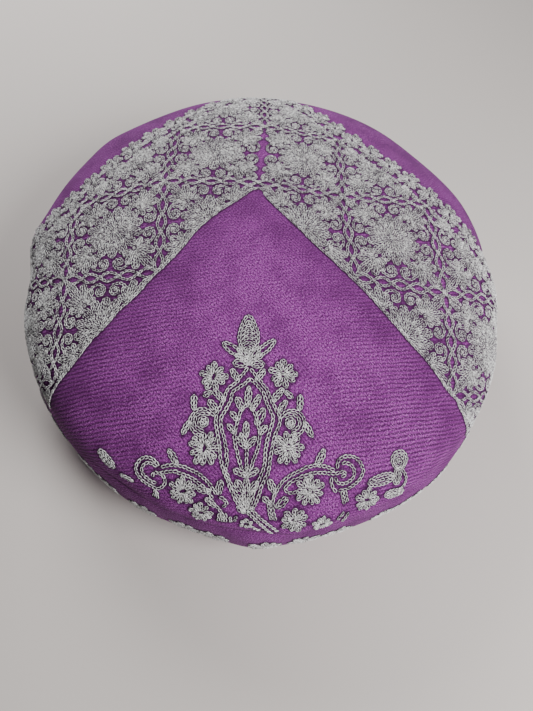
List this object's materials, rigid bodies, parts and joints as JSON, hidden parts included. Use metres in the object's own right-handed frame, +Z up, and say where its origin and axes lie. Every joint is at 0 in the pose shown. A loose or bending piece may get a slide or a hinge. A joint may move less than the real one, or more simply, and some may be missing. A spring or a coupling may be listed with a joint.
{
  "type": "embroidered cap",
  "caption": "Soft domed cap of purple twill with grey chain-stitch lattice and flower embroidery, open underneath and standing on its rim.",
  "frame": {"origin": "under the middle of the bounding box, on the surface that the rim stands on", "axes": "+Z up through the crown, -Y toward the front with the plain kite and bouquet, +X to the right as seen from the front"},
  "size_m": [0.2078, 0.2126, 0.0802],
  "materials": {
    "purple_twill": "matt fulled twill with a soft sheen",
    "grey_thread": "twisted matt thread in chain stitch"
  },
  "bodies": {
    "root": {"crown": "purple_twill", "side_band": "purple_twill"}
  },
  "joints": []
}
